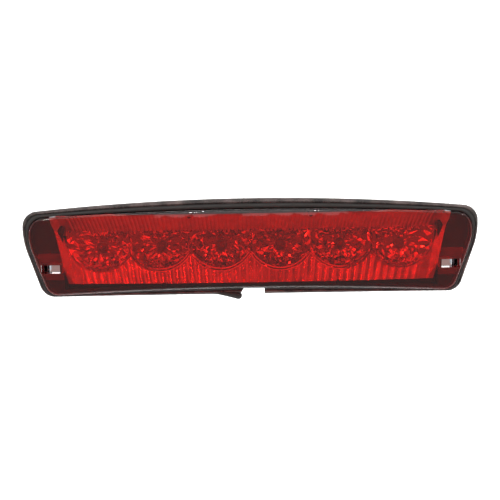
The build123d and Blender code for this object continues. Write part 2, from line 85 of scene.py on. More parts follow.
def node(tree, kind, settings=None, **links):
    """Adds a node. settings are its own properties. links are its sockets' values or sources, with
    a socket's name written with underscores for its spaces, or _N for the socket at index N."""
    new = tree.nodes.new(kind)
    for name, value in (settings or {}).items():
        setattr(new, name, value)
    for name, value in links.items():
        key = int(name[1:]) if name[1:].isdigit() else name.replace("_", " ")
        socket = new.inputs[key]
        if isinstance(value, bpy.types.NodeSocket):
            tree.links.new(value, socket)
        else:
            socket.default_value = value
    return new


def material(name):
    """An empty node material and its tree."""
    new = bpy.data.materials.new(name)
    new.use_nodes = True
    new.node_tree.nodes.clear()
    return new, new.node_tree


def close(tree, shader):
    """Links a shader to the material's output."""
    node(tree, "ShaderNodeOutputMaterial", Surface=shader.outputs[0])


NOISE_RANGE = (0.35, 0.65)      # where most of a noise's values lie


def noise_pattern(tree, size_mm, detail=3.0, roughness=0.5):
    """Noise whose main lumps are size_mm across."""
    coordinates = node(tree, "ShaderNodeTexCoord").outputs["Object"]
    return node(tree, "ShaderNodeTexNoise", Vector=coordinates, Scale=1 / (size_mm * MM),
                Detail=detail, Roughness=roughness).outputs["Fac"]


def two_tone(tree, pattern, dark, light, start, end):
    """Colour that goes from dark to light as a pattern goes over a range."""
    factor = node(tree, "ShaderNodeMapRange", Value=pattern, From_Min=start, From_Max=end)
    mix = node(tree, "ShaderNodeMix", {"data_type": "RGBA"},
               _0=factor.outputs[0], _6=linear(dark), _7=linear(light))
    return mix.outputs[2]


# --- Materials ------------------------------------------------------------------------------------
ACRYLIC_TINT = "f05042"
SHRINK_WAVE, SHRINK_DEPTH, HANDLING_MARKS = 14.0, 0.002, 5.0       # in mm


def red_acrylic():
    """Moulded PMMA dyed signal red. The polished mould leaves it clear all through, with a thin
    mirror on its skin that shrinkage makes wave a little and handling dulls in patches."""
    made, tree = material("red_acrylic")
    wave = noise_pattern(tree, SHRINK_WAVE, detail=1.0)
    marks = noise_pattern(tree, HANDLING_MARKS, detail=4.0)
    tint = linear(ACRYLIC_TINT)
    polish = node(tree, "ShaderNodeMapRange", Value=marks, From_Min=NOISE_RANGE[0],
                  From_Max=NOISE_RANGE[1], To_Min=0.02, To_Max=0.05)
    surface = node(tree, "ShaderNodeBump", Height=wave, Distance=SHRINK_DEPTH * MM, Strength=0.2)
    glass = node(tree, "ShaderNodeBsdfPrincipled", Base_Color=tint, IOR=1.49, Transmission_Weight=1.0,
                 Roughness=polish.outputs[0], Normal=surface.outputs[0])
    lit_through = node(tree, "ShaderNodeBsdfTransparent", Color=[math.sqrt(c) for c in tint])
    path = node(tree, "ShaderNodeLightPath")
    close(tree, node(tree, "ShaderNodeMixShader", _0=path.outputs["Is Shadow Ray"],
                     _1=glass.outputs[0], _2=lit_through.outputs[0]))
    return made


MOULD_GRAIN, MOULD_GRAIN_DEPTH = 0.5, 0.02       # in mm
MOULD_PATCHES = 9.0


def plain_moulding(name, dark, light, roughness):
    """Plastic, rubber or resin that a spark-eroded mould gives a fine, even grain, with patches that
    are a little glossier than the rest. The grain is drawn coarser than a real one, so that it shows."""
    made, tree = material(name)
    grain = noise_pattern(tree, MOULD_GRAIN, detail=2.0)
    patches = noise_pattern(tree, MOULD_PATCHES, detail=3.0)
    gloss = node(tree, "ShaderNodeMapRange", Value=patches, From_Min=NOISE_RANGE[0],
                 From_Max=NOISE_RANGE[1], To_Min=roughness[0], To_Max=roughness[1])
    surface = node(tree, "ShaderNodeBump", Height=grain, Distance=MOULD_GRAIN_DEPTH * MM, Strength=0.6)
    close(tree, node(tree, "ShaderNodeBsdfPrincipled", IOR=1.5,
                     Base_Color=two_tone(tree, patches, dark, light, *NOISE_RANGE),
                     Roughness=gloss.outputs[0], Normal=surface.outputs[0]))
    return made


FLOCK_SPECKS, FLOCK_SPECK_DEPTH = 0.9, 0.12      # in mm
FLOCK_DRIFT = 12.0
DUST_RANGE = (0.85, 1.25)                        # of specks and drifts added together


def speckled_rubber():
    """EPDM with a flocked skin, on the seal's outer band: dusty, with specks that catch the light and
    gather in drifts. The specks are drawn coarser than real flock, so that they show."""
    made, tree = material("flocked_rubber")
    speck = noise_pattern(tree, FLOCK_SPECKS, detail=5.0, roughness=0.75)
    drift = noise_pattern(tree, FLOCK_DRIFT, detail=2.0)
    dust = node(tree, "ShaderNodeMath", {"operation": "ADD"}, _0=speck, _1=drift).outputs[0]
    gloss = node(tree, "ShaderNodeMapRange", Value=speck, From_Min=NOISE_RANGE[0],
                 From_Max=NOISE_RANGE[1], To_Min=0.5, To_Max=0.8)
    surface = node(tree, "ShaderNodeBump", Height=speck, Distance=FLOCK_SPECK_DEPTH * MM, Strength=0.8)
    close(tree, node(tree, "ShaderNodeBsdfPrincipled", IOR=1.5,
                     Base_Color=two_tone(tree, dust, "251f1e", "6f5f5b", *DUST_RANGE),
                     Roughness=gloss.outputs[0], Normal=surface.outputs[0]))
    return made


def metal(name, dark, light, roughness, mark_mm):
    """Metal whose polish varies in patches mark_mm across."""
    made, tree = material(name)
    marks = noise_pattern(tree, mark_mm, detail=4.0)
    polish = node(tree, "ShaderNodeMapRange", Value=marks, From_Min=NOISE_RANGE[0],
                  From_Max=NOISE_RANGE[1], To_Min=roughness[0], To_Max=roughness[1])
    close(tree, node(tree, "ShaderNodeBsdfPrincipled", Metallic=1.0, Roughness=polish.outputs[0],
                     Base_Color=two_tone(tree, marks, dark, light, *NOISE_RANGE)))
    return made


EPOXY_SPECKS = 1.0                               # in mm


def clear_epoxy():
    """Cast epoxy of a diode's dome: glossy and nearly clear, with a faint warm tone."""
    made, tree = material("clear_epoxy")
    specks = noise_pattern(tree, EPOXY_SPECKS)
    polish = node(tree, "ShaderNodeMapRange", Value=specks, From_Min=NOISE_RANGE[0],
                  From_Max=NOISE_RANGE[1], To_Min=0.03, To_Max=0.1)
    close(tree, node(tree, "ShaderNodeBsdfPrincipled", Base_Color=linear("f4efe6"), IOR=1.52,
                     Roughness=polish.outputs[0], Transmission_Weight=0.85))
    return made


MATERIALS = {
    "lens_red": red_acrylic(),
    # Moulded ABS: near black, with a low even sheen
    "housing_black": plain_moulding("black_abs", "101011", "1b1a1b", (0.35, 0.5)),
    # Extruded EPDM: warm black and dull, with broad soft highlights
    "seal_rubber": plain_moulding("epdm_rubber", "1d1817", "251f1d", (0.6, 0.75)),
    "seal_texture": speckled_rubber(),
    # Tufts of the flock: browner and paler than the rubber that they stand on
    "seal_grain": plain_moulding("rubber_grain", "272120", "6b5c59", (0.35, 0.55)),
    # Cured bonding adhesive: milky, and tacky enough to shine
    "bond_clear": plain_moulding("bonding_adhesive", "998a80", "a99a8f", (0.3, 0.5)),
    # Vacuum-metallised aluminium on a polished mould face: a mirror, for the cups
    "reflector_metal": metal("vacuum_aluminium", "cfcfd1", "dddddf", (0.02, 0.05), 6.0),
    # The same film on a lightly blasted mould face: soft bright stripes, for the lower plates. Its grey
    # is a little darker than the cups', as painted shade
    "reflector_satin": metal("satin_aluminium_painted_shade", "bcbcbe", "cbcbcd", (0.20, 0.27), 6.0),
    # The same film on a well blasted mould face: an even pale grey, for the upper plates. Its grey is
    # darker again, as painted shade, so the upper plates read darker than the lower ones
    "reflector_matt": metal("matt_aluminium_painted_shade", "b2b2b4", "c4c4c6", (0.30, 0.38), 6.0),
    # Steel screws in black zinc plating: dark, with a metallic edge to the heads
    "screw_steel": metal("black_zinc", "1c1c1e", "2c2c2f", (0.3, 0.45), 0.8),
    # Solder mask on glass-epoxy board: smooth deep green
    "board_green": plain_moulding("solder_mask", "0f3d22", "164c2b", (0.25, 0.4)),
    # Smoked epoxy of the diode packages: brownish grey, slightly glossy
    "led_epoxy": plain_moulding("smoked_epoxy", "6a6361", "7d7573", (0.3, 0.4)),
    "led_dome_clear": clear_epoxy(),
    # Transfer-moulded epoxy of the board's small parts: dull black
    "chip_black": plain_moulding("moulded_epoxy", "161616", "202020", (0.5, 0.6)),
    # Fired ceramic of the chip capacitors: dull tan
    "chip_ceramic": plain_moulding("fired_ceramic", "a5875f", "b99a70", (0.5, 0.6)),
    # Tinned brass of the terminals: warm pale grey, drawn smooth
    "terminal_tin": metal("tinned_brass", "c9c2ae", "d8d2c2", (0.2, 0.35), 0.8),
    # Moulded black nylon of the socket: a shade paler than the ABS
    "connector_nylon": plain_moulding("black_nylon", "1d1d1f", "29292b", (0.35, 0.5)),
    # Moulded silicone of the gasket: dull rust orange
    "gasket_silicone": plain_moulding("orange_silicone", "8e2f14", "a33a1b", (0.45, 0.6)),
    # Undyed nylon of the locating pegs: waxy off-white
    "peg_nylon": plain_moulding("natural_nylon", "b9b4a6", "cbc6b8", (0.35, 0.5)),
    # Moulded polypropylene of the vent cap: dark grey
    "vent_polymer": plain_moulding("polypropylene", "222326", "2e2f33", (0.4, 0.5)),
    # Stretched PTFE film of the vent: matt white
    "membrane_white": plain_moulding("ptfe_film", "cfcfcc", "e0e0de", (0.6, 0.8)),
    # Stamped and blued spring steel of the clips: cool grey, with a rolled sheen
    "spring_steel": metal("blued_spring_steel", "5d5f66", "7b7d82", (0.2, 0.35), 2.0),
    # Ground steel of the clips' pins: bright and smooth
    "pin_steel": metal("ground_steel", "9a9b9f", "b4b5b8", (0.15, 0.3), 1.0),
}


def finish_cad_nodes():
    """Gives each CAD node the material of its slot."""
    for part in frame["record"]["subparts"]:
        mesh = frame["nodes"][part["node"]].data
        mesh.materials.clear()
        mesh.materials.append(MATERIALS[part["material_slot"]])


# --- Outlines in the front view, in millimetres ----------------------------------------------------
LENS_EDGE = dict(top=29.0, top_sag=5.3, bottom=-30.5, bottom_sag=5.7, side=169.2, knee=5.0, foot=155.2,
                 rounds=(10.0, 36.0, 12.0))
SEAL_EDGE = dict(top=36.8, top_sag=8.7, bottom=-37.0, bottom_sag=0.0, side=174.8, knee=6.4, foot=160.0,
                 rounds=(12.0, 58.0, 11.5))
SEAL_GAP = (-4.6, 10.4)         # the bottom joint's left and right sides
TANGENT_RUN = 5.0
EDGE_STEPS = 40                 # along the bottom and along the top
ARC_STEPS = (10, 8, 12)         # round the foot, the knee and the top corner
SIDE_STEPS = (5, 3)             # from foot to knee, and from knee to top corner


def corner_arc(before, corner, after, radius, steps):
    """Points of the arc that rounds a corner."""
    incoming, outgoing = (corner - before).normalized(), (after - corner).normalized()
    turn = incoming.angle(outgoing)
    reach = radius * math.tan(turn / 2)
    start, end = corner - incoming * reach, corner + outgoing * reach
    side = Vector((-incoming.y, incoming.x))
    if side.dot(outgoing) < 0:
        side.negate()
    centre = start + side * radius
    first, last = start - centre, end - centre
    return [centre + first.slerp(last, i / steps) * radius for i in range(steps + 1)]


def half_edge(start_x, top, top_sag, bottom, bottom_sag, side, knee, foot, rounds):
    """Right half of an outline, from its bottom edge at start_x up to the middle of its top."""
    def floor(x):
        return Vector((x, bottom - bottom_sag * (x / foot) ** 2))

    def roof(x):
        return Vector((x, top - top_sag * (x / side) ** 2))

    foot_corner, knee_corner, top_corner = floor(foot), Vector((side, knee)), roof(side)
    lower = corner_arc(floor(foot - TANGENT_RUN), foot_corner, knee_corner, rounds[0], ARC_STEPS[0])
    middle = corner_arc(foot_corner, knee_corner, top_corner, rounds[1], ARC_STEPS[1])
    upper = corner_arc(knee_corner, top_corner, roof(side - TANGENT_RUN), rounds[2], ARC_STEPS[2])
    first, second = SIDE_STEPS
    along = lower[0].x - start_x
    points = [floor(start_x + along * i / EDGE_STEPS) for i in range(EDGE_STEPS)] + lower
    points += [lower[-1].lerp(middle[0], i / first) for i in range(1, first)] + middle
    points += [middle[-1].lerp(upper[0], i / second) for i in range(1, second)] + upper
    return points + [roof(upper[-1].x * (1 - i / EDGE_STEPS)) for i in range(1, EDGE_STEPS + 1)]


def open_edge(edge):
    """The outline from the right side of the seal's gap round to its left side."""
    right = half_edge(SEAL_GAP[1], **edge)
    left = half_edge(-SEAL_GAP[0], **edge)
    return right + [Vector((-p.x, p.y)) for p in reversed(left[:-1])]


# --- Mesh helpers ---------------------------------------------------------------------------------
MERGE_DISTANCE = 0.001 * MM


def shaped_mesh(name, verts, faces, materials, smooth_angle=40.0, closed=True):
    """A smoothly shaded mesh from points in millimetres. materials is a list, or a list and one
    index per face."""
    mesh = bpy.data.meshes.new(name)
    mesh.from_pydata([Vector(v) * MM for v in verts], [], faces)
    slots, indices = materials if isinstance(materials, tuple) else (materials, None)
    for item in slots:
        mesh.materials.append(item)
    if indices:
        mesh.polygons.foreach_set("material_index", indices)
    mesh.update()
    shaped = bmesh.new()
    shaped.from_mesh(mesh)
    bmesh.ops.remove_doubles(shaped, verts=shaped.verts, dist=MERGE_DISTANCE)
    if closed:
        bmesh.ops.recalc_face_normals(shaped, faces=shaped.faces)
    shaped.to_mesh(mesh)
    shaped.free()
    mesh.shade_smooth()
    mesh.set_sharp_from_angle(angle=math.radians(smooth_angle))
    return mesh


def add_piece(mesh):
    """Adds a finished piece of the lamp's body, named as its mesh is."""
    piece = bpy.data.objects.new(mesh.name, mesh)
    SCENE.collection.objects.link(piece)
    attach(piece, "lamp")
    return piece


def band_faces(rows, columns, first=0, closed=True):
    """Quads between the rows of a swept section, whose points start at index first."""
    faces = []
    for i in range(rows - 1):
        for j in range(columns if closed else columns - 1):
            k = (j + 1) % columns
            a, b = first + i * columns, first + (i + 1) * columns
            faces.append((a + j, b + j, b + k, a + k))
    return faces


# --- Perimeter seal -------------------------------------------------------------------------------
# The strip's section as (share of its width from the lens outwards, depth), without its groove
SEAL_FACE = ((0.0, -19.4), (0.02, -20.6), (0.10, -21.4), (0.24, -21.6), (0.38, -21.3), (0.48, -20.4),
             (0.53, -20.0), (0.58, -20.5), (0.68, -20.9), (0.80, -20.6), (0.91, -19.7), (0.98, -18.2),
             (1.0, -16.4), (1.0, -14.4), (0.96, -13.0), (0.86, -12.15), (0.7, -12.0), (0.2, -12.0),
             (0.03, -12.4), (0.0, -13.2))
SEAL_BAND = (6, 12)            # the textured outer band lies between these points of the section
GROOVE_DEPTH = (-13.95, -16.05)
GROOVE_REACH, GROOVE_WALL = 2.6, 0.7
# The peeled lip at the gap's left side: where it starts to lift, how far its end is pulled, and the
# middle and radius of its round section from root to tip
LIP_START, LIP_LEVEL = -29.0, -30.0
LIP_PULL = Vector((-3.4, 0.7))
LIP_PATH = [Vector((-33.0, -18.4, -34.4)), Vector((-25.0, -18.6, -35.0)),
            Vector((-17.0, -18.8, -36.6)), Vector((-9.9, -18.9, -38.2))]
LIP_RADII = (2.0, 2.3, 2.6, 2.9)
LIP_SIDES = 16
TIP_TURNS = [math.radians(angle) for angle in (18, 36, 54, 72)]
GRAINS_PER_M2, GRAIN_RADIUS, GRAIN_SEED = 1.1e6, 0.27 * MM, 5
GRAIN_SIZES = (0.45, 1.1)


def seal_section(inner, outer):
    """One closed section of the strip in mm, between a point of each edge."""
    across = outer - inner
    width = across.length
    reach = min(GROOVE_REACH, width - GROOVE_WALL) / width
    back, front = GROOVE_DEPTH
    groove = ((0.0, back), (reach, back), (reach, front), (0.0, front))
    points = []
    for share, depth in SEAL_FACE + groove:
        place = inner + across * share
        points.append((place.x, depth, place.y))
    return points


def lip_ring(place, direction, radius):
    """Ring of the round lip about a point in mm."""
    axis = direction.normalized()
    side = Vector((0, 1, 0))
    up = axis.cross(side)
    ring = []
    for i in range(LIP_SIDES):
        angle = 2 * math.pi * i / LIP_SIDES
        ring.append(place + (side * math.cos(angle) + up * math.sin(angle)) * radius)
    return ring


def lip_rings():
    """Rings of the peeled lip, from its root to its rounded tip."""
    rings, last = [], len(LIP_PATH) - 1
    for i, (place, radius) in enumerate(zip(LIP_PATH, LIP_RADII)):
        direction = LIP_PATH[min(i + 1, last)] - LIP_PATH[max(i - 1, 0)]
        rings.append(lip_ring(place, direction, radius))
    tip, radius = LIP_PATH[-1], LIP_RADII[-1]
    along = (tip - LIP_PATH[-2]).normalized()
    for turn in TIP_TURNS:
        rings.append(lip_ring(tip + along * radius * math.sin(turn), along, radius * math.cos(turn)))
    return rings


def make_seal():
    """Extruded strip with a smooth inner bead and a textured outer band, and its peeled lip."""
    inner, outer = open_edge(LENS_EDGE), open_edge(SEAL_EDGE)
    verts, rows = [], len(inner)
    lip_end = SEAL_GAP[0]
    for a, b in zip(inner, outer):
        raised = b.copy()
        if LIP_START < b.x < lip_end + 0.01 and b.y < LIP_LEVEL:
            raised += LIP_PULL * (b.x - LIP_START) / (lip_end - LIP_START)
        verts += seal_section(a, raised)
    columns = len(verts) // rows
    faces = band_faces(rows, columns)
    textured = [1 if SEAL_BAND[0] <= i % columns < SEAL_BAND[1] else 0 for i in range(len(faces))]
    faces += [tuple(range(first, first + columns)) for first in (0, (rows - 1) * columns)]
    rings, first = lip_rings(), len(verts)
    for ring in rings:
        verts += ring
    faces += band_faces(len(rings), LIP_SIDES, first)
    faces += [tuple(range(start, start + LIP_SIDES)) for start in (first, len(verts) - LIP_SIDES)]
    textured += [0] * (len(faces) - len(textured))
    skins = [MATERIALS["seal_rubber"], MATERIALS["seal_texture"]]
    strip = shaped_mesh("perimeter_seal_strip", verts, faces, (skins, textured))
    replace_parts(add_piece(strip), "perimeter_seal")
    scatter_grain(verts, [face for face, rough in zip(faces, textured) if rough])


def grain_tree():
    """Geometry nodes that scatter small grains over faces. Returns the tree and its input sockets."""
    tree = bpy.data.node_groups.new("seal_grain", "GeometryNodeTree")
    sockets = {}
    for name, kind in (("Band", "NodeSocketGeometry"), ("Grains per m2", "NodeSocketFloat"),
                       ("Grain radius", "NodeSocketFloat"), ("Seed", "NodeSocketInt"),
                       ("Grain material", "NodeSocketMaterial")):
        sockets[name] = tree.interface.new_socket(name, in_out="INPUT", socket_type=kind)
    tree.interface.new_socket("Grains", in_out="OUTPUT", socket_type="NodeSocketGeometry")
    given = node(tree, "NodeGroupInput").outputs
    points = node(tree, "GeometryNodeDistributePointsOnFaces", Mesh=given["Band"],
                  Density=given["Grains per m2"], Seed=given["Seed"]).outputs["Points"]
    ball = node(tree, "GeometryNodeMeshIcoSphere", Radius=given["Grain radius"], Subdivisions=1)
    size = node(tree, "FunctionNodeRandomValue", {"data_type": "FLOAT"},
                _2=GRAIN_SIZES[0], _3=GRAIN_SIZES[1], Seed=given["Seed"])
    grains = node(tree, "GeometryNodeInstanceOnPoints", Points=points, Instance=ball.outputs["Mesh"],
                  Scale=size.outputs[1]).outputs["Instances"]
    solid = node(tree, "GeometryNodeRealizeInstances", Geometry=grains).outputs[0]
    finished = node(tree, "GeometryNodeSetMaterial", Geometry=solid, Material=given["Grain material"])
    node(tree, "NodeGroupOutput", Grains=finished.outputs[0])
    return tree, sockets


def scatter_grain(verts, band):
    """The grain of the seal's outer band, as small beads half sunk into its skin. They are larger and
    fewer than a real skin's, so that they show."""
    skin = shaped_mesh("grain_source", verts, band, [MATERIALS["seal_grain"]], closed=False)
    source = bpy.data.objects.new("grain_source", skin)
    SCENE.collection.objects.link(source)
    tree, sockets = grain_tree()
    maker = source.modifiers.new("grain", "NODES")
    maker.node_group = tree
    for name, value in (("Grains per m2", GRAINS_PER_M2), ("Grain radius", GRAIN_RADIUS),
                        ("Seed", GRAIN_SEED), ("Grain material", MATERIALS["seal_grain"])):
        maker[sockets[name].identifier] = value
    bpy.context.view_layer.update()
    evaluated = source.evaluated_get(bpy.context.evaluated_depsgraph_get())
    mesh = bpy.data.meshes.new_from_object(evaluated)
    source.modifiers.clear()
    bpy.data.objects.remove(source)
    mesh.name = "seal_grain"
    add_piece(mesh)


# --- Reflector ------------------------------------------------------------------------------------
PLAN_CENTRE_Y = 1466.0          # the tray follows the lens's sweep, round an axis at this depth
FOLDS = ((-26.4, -28.2), (-1.0, -22.0), (13.5, -19.5), (25.7, -29.5))     # (Z, depth) of its section
TRAY_HALF = 146.5               # half width at Z = 0
TRAY_LEAN = 0.266               # the half width grows by this much per mm of height
END_WALL, END_SHELF = 5.4, 11.4                                 # distances from the tray's end
END_STEPS = 8                   # columns across the shelf, and across the end wall
CUP_PITCH, CUP_RADIUS, CUP_Z, CUP_BACK = 46.0, 27.4, 9.8, -11.0
ROOF_Z = 13.5
HOLE_RADIUS = 4.4               # round the diode
RIM_SLACK = 60.0                # in mm2: the plates close over the tip of a rim's curve
LOWER_RIDGES, LOWER_SAMPLES, LOWER_RISE, LOWER_ROWS = 46, 10, 0.75, 12
UPPER_RIDGES, UPPER_SAMPLES, UPPER_RISE, UPPER_ROWS = 92, 8, 0.35, 8
DROOP = (0.4, 3.4)              # how far an upper ridge's crest hangs below the roof line
FRONT_LIMIT, FRONT_BOW = -31.0, 320.0                           # just inside the lens
EDGE_GUESS, EDGE_TRIES = (-10.0, ROOF_Z), 4     # start and count of the search for a plate's edge
CUP_SIDES = 54
CUP_RINGS = (1.0, 0.94, 0.85, 0.76, 0.67, 0.58, 0.49, 0.41, 0.33)
CUP_CENTRES = [CUP_PITCH * (i - 2.5) for i in range(6)]
CUP_POWER = 1.75                # a cup's depth grows with this power of its radius
FACET_TURN = 0.6 * 2 * math.pi / CUP_SIDES                      # how far a facet's corners stray
FACET_SHIFT, FACET_WOBBLE = (-0.7, 0.5), 0.9
BEADS = ((0.0, 0.9), (1.7, 0.2))                                # each one's (inset, height)
BEAD_SECTION = ((-0.65, False), (-0.25, True), (0.25, True), (0.65, False))     # (offset, is crest)
BEAD_ROOT, BEAD_SLOPE, BEAD_STEPS = 0.3, 0.9, 28
REFLECTOR_SEED = 11


def swept(x, depth):
    """Y beside the tray's middle of what is at a depth in its middle."""
    return PLAN_CENTRE_Y - math.sqrt((PLAN_CENTRE_Y - depth) ** 2 - x * x)


def plate_depth(z):
    """Depth of the folded plates at a height, at the middle of the tray."""
    for (z_low, low), (z_high, high) in zip(FOLDS, FOLDS[1:]):
        if z <= z_high:
            break
    return low + (high - low) * (z - z_low) / (z_high - z_low)


def cup_rim(x, upper):
    """Height of a cup's lower or upper rim in a column, or the fold between plates beside the cups."""
    nearest = min(CUP_CENTRES, key=lambda centre: abs(centre - x))
    across = CUP_RADIUS ** 2 - (x - nearest) ** 2
    if across <= RIM_SLACK:
        return CUP_Z
    return min(ROOF_Z, CUP_Z + math.sqrt(across)) if upper else CUP_Z - math.sqrt(across)


def round_flute(phase):
    """Height of a row of round ridges: 0 in the valleys and 1 on the crests."""
    return 1 - (2 * (phase % 1.0) - 1) ** 2


def tray_columns(flutes, samples):
    """(share of the fluted half width, ridge height, ridge number) from left to right, then the
    shelf and end wall beyond each end of the ridges."""
    columns = []
    for i in range(flutes * samples + 1):
        phase = i / samples
        columns.append((2 * i / (flutes * samples) - 1, round_flute(phase), int(phase)))
    beyond = [(1 + i / END_STEPS, 0.0, -1) for i in range(1, 2 * END_STEPS + 1)]
    return [(-share, height, number) for share, height, number in reversed(beyond)] + columns + beyond


def plate_column(share, z):
    """X of a column at a height. Shares from 1 to 2 cross the flat shelf, from 2 to 3 the end wall."""
    half, beyond = TRAY_HALF + TRAY_LEAN * z, abs(share)
    if beyond <= 1:
        reach = beyond * (half - END_SHELF)
    elif beyond <= 2:
        reach = half - END_SHELF + (beyond - 1) * (END_SHELF - END_WALL)
    else:
        reach = half - END_WALL + (beyond - 2) * END_WALL
    return math.copysign(reach, share)


def plate_edge(share, upper):
    """Height of a column's edge beside the cups. The column leans, so its edge and its X are found
    in turns."""
    edge = EDGE_GUESS[upper]
    for _ in range(EDGE_TRIES):
        edge = cup_rim(plate_column(share, edge), upper)
    return edge


def plate(flutes, samples, ridge, upper, rows, chance):
    """Vertices and faces of the plates below or above the cups."""
    columns = tray_columns(flutes, samples)
    droops = [chance.uniform(*DROOP) for _ in range(flutes + 1)]
    outer = FOLDS[-1][0] if upper else FOLDS[0][0]
    verts = []
    for share, height, number in columns:
        edge = plate_edge(share, upper)
        if upper and number >= 0:
            edge -= droops[number] * height
        hanging = upper and edge > CUP_Z + 2
        for i in range(rows + 1):
            z = outer + (edge - outer) * i / rows
            depth = plate_depth(max(z, ROOF_Z) if hanging else z)
            depth -= ridge * height + END_WALL * max(0.0, abs(share) - 2)
            depth = max(depth, FRONT_LIMIT + z * z / FRONT_BOW)
            x = plate_column(share, z)
            verts.append((x, swept(x, depth), z))
    return verts, band_faces(len(columns), rows + 1, closed=False)


def cup_edge(centre, angle):
    """Distance from a cup's diode to its edge in a direction."""
    run, rise = math.cos(angle), math.sin(angle)
    reach = rise * CUP_Z + math.sqrt((rise * CUP_Z) ** 2 + CUP_RADIUS ** 2 - CUP_Z ** 2)
    if rise > 0:
        reach = min(reach, ROOF_Z / rise)
    outermost = centre * run > 0 and abs(centre) > 2 * CUP_PITCH
    if run and not outermost:
        reach = min(reach, CUP_PITCH / 2 / abs(run))
    return reach


def facet_cup(centre, chance):
    """A cup of small flat facets, none of them quite in line with its neighbours."""
    verts = []
    for ring, share in enumerate(CUP_RINGS):
        for i in range(CUP_SIDES):
            angle = 2 * math.pi * (i + ring % 2 / 2) / CUP_SIDES
            wobble = 0.0
            if ring:
                angle += chance.uniform(-FACET_TURN, FACET_TURN)
                wobble = chance.uniform(-FACET_WOBBLE, FACET_WOBBLE)
            edge = cup_edge(centre, angle)
            reach = HOLE_RADIUS + (edge - HOLE_RADIUS) * (share - CUP_RINGS[-1]) / (1 - CUP_RINGS[-1])
            reach += chance.uniform(*FACET_SHIFT) if ring else 0.0
            rise = max(0.0, (reach - HOLE_RADIUS) / (edge - HOLE_RADIUS)) ** CUP_POWER
            x = centre + reach * math.cos(angle)
            rim = swept(x, plate_depth(edge * math.sin(angle)))
            depth = CUP_BACK + (rim - CUP_BACK) * rise + wobble * min(1.0, 3 * rise + 0.3)
            verts.append((x, depth, reach * math.sin(angle)))
    faces = []
    for a, b, c, d in band_faces(len(CUP_RINGS), CUP_SIDES):
        faces += [(a, b, c), (a, c, d)] if chance.random() < 0.5 else [(a, b, d), (b, c, d)]
    return verts, faces


def rim_bead(centre, inset, height):
    """Low ridge along a cup's lower edge."""
    verts = []
    start = math.asin((cup_rim(centre + CUP_PITCH / 2 - 0.01, False) - CUP_Z) / CUP_RADIUS)
    for i in range(BEAD_STEPS + 1):
        angle = start - (math.pi + 2 * start) * i / BEAD_STEPS
        for offset, crest in BEAD_SECTION:
            front = -height if crest else BEAD_ROOT
            reach = CUP_RADIUS - inset + offset
            x, z = centre + reach * math.cos(angle), CUP_Z + reach * math.sin(angle)
            verts.append((x, swept(x, plate_depth(z) + front + BEAD_SLOPE * inset), z))
    return verts, band_faces(BEAD_STEPS + 1, len(BEAD_SECTION), closed=False)


def facing_forward(face, verts):
    """A face with its corners in the order that turns its normal to the front."""
    a, b, c = [Vector(verts[i]) for i in face[:3]]
    return face if (b - a).cross(c - a).y <= 0 else face[::-1]


def make_reflector():
    """Metallised tray: fluted plates, satin below and matt above six polished, facetted cups."""
    chance = random.Random(REFLECTOR_SEED)
    skins = [MATERIALS[name] for name in ("reflector_satin", "reflector_matt", "reflector_metal")]
    satin, matt, mirror = range(3)
    parts = [(plate(LOWER_RIDGES, LOWER_SAMPLES, LOWER_RISE, False, LOWER_ROWS, chance), satin),
             (plate(UPPER_RIDGES, UPPER_SAMPLES, UPPER_RISE, True, UPPER_ROWS, chance), matt)]
    for centre in CUP_CENTRES:
        parts.append((facet_cup(centre, chance), mirror))
        parts += [(rim_bead(centre, inset, height), mirror) for inset, height in BEADS]
    verts, faces, polish = [], [], []
    for (part_verts, part_faces), skin in parts:
        first = len(verts)
        verts += part_verts
        for face in part_faces:
            faces.append(tuple(first + i for i in facing_forward(face, part_verts)))
            polish.append(skin)
    mesh = shaped_mesh("reflector_tray", verts, faces, (skins, polish), smooth_angle=30.0, closed=False)
    for face in mesh.polygons:
        face.use_smooth = face.material_index != mirror
    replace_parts(add_piece(mesh), "reflector")


# --- Lens -----------------------------------------------------------------------------------------
LENS_MERGE = 0.002 * MM
LENS_SHARP = math.radians(30.0)


def make_lens():
    """The lens's own moulding, joined up and smoothly shaded."""
    mesh = frame["nodes"]["lens"].data.copy()
    mesh.name = "lens_moulding"
    shaped = bmesh.new()
    shaped.from_mesh(mesh)
    bmesh.ops.remove_doubles(shaped, verts=shaped.verts, dist=LENS_MERGE)
    shaped.to_mesh(mesh)
    shaped.free()
    if mesh.has_custom_normals:
        mesh.attributes.remove(mesh.attributes["custom_normal"])
    mesh.shade_smooth()
    mesh.set_sharp_from_angle(angle=LENS_SHARP)
    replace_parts(add_piece(mesh), "lens")


# --- Studio ---------------------------------------------------------------------------------------
FLOOR_Z, FLOOR_FRONT = -0.30, -0.25             # this floor stops short of what the lens mirrors
BACKDROP_Y, BACKDROP_TOP, SWEEP_BEND = 1.6, 3.0, 0.5
SWEEP_HALF_WIDTH, SWEEP_STEPS = 4.0, 8
GLOW_DEPTHS, GLOW_LEVELS = (-0.25, 0.1), (0.2, 1.0)
# Painted soft shadow on the backdrop behind each release slot: its side and height, how many of its radii
# make a metre, and the light's level from its middle to its edge
PAINTED_SHADOW_PLACE, PAINTED_SHADOW_SCALE = (0.497, -0.195, 0), (21, 25, 0)
PAINTED_SHADOW_REACH, PAINTED_SHADOW_LEVELS = (0.6, 1.1), (0.12, 1.0)
# Each soft box's place, what it faces, its size in metres and its power in watts
SOFT_BOXES = {
    "key_box": ((0.0, -1.40, 0.60), (0, 0, 0), (0.8, 0.28), 0.9),
    "front_box": ((0.0, -1.45, 1.25), (0, 0, 0), (1.4, 0.7), 6),
    "sky_box": ((0.0, -0.7, 1.8), (0, -0.1, 0), (4.0, 2.6), 20),
    "left_box": ((-1.5, -0.4, 0.6), (0, 0, 0), (0.6, 1.2), 4),
    "right_box": ((1.5, -0.4, 0.6), (0, 0, 0), (0.6, 1.2), 4),
}
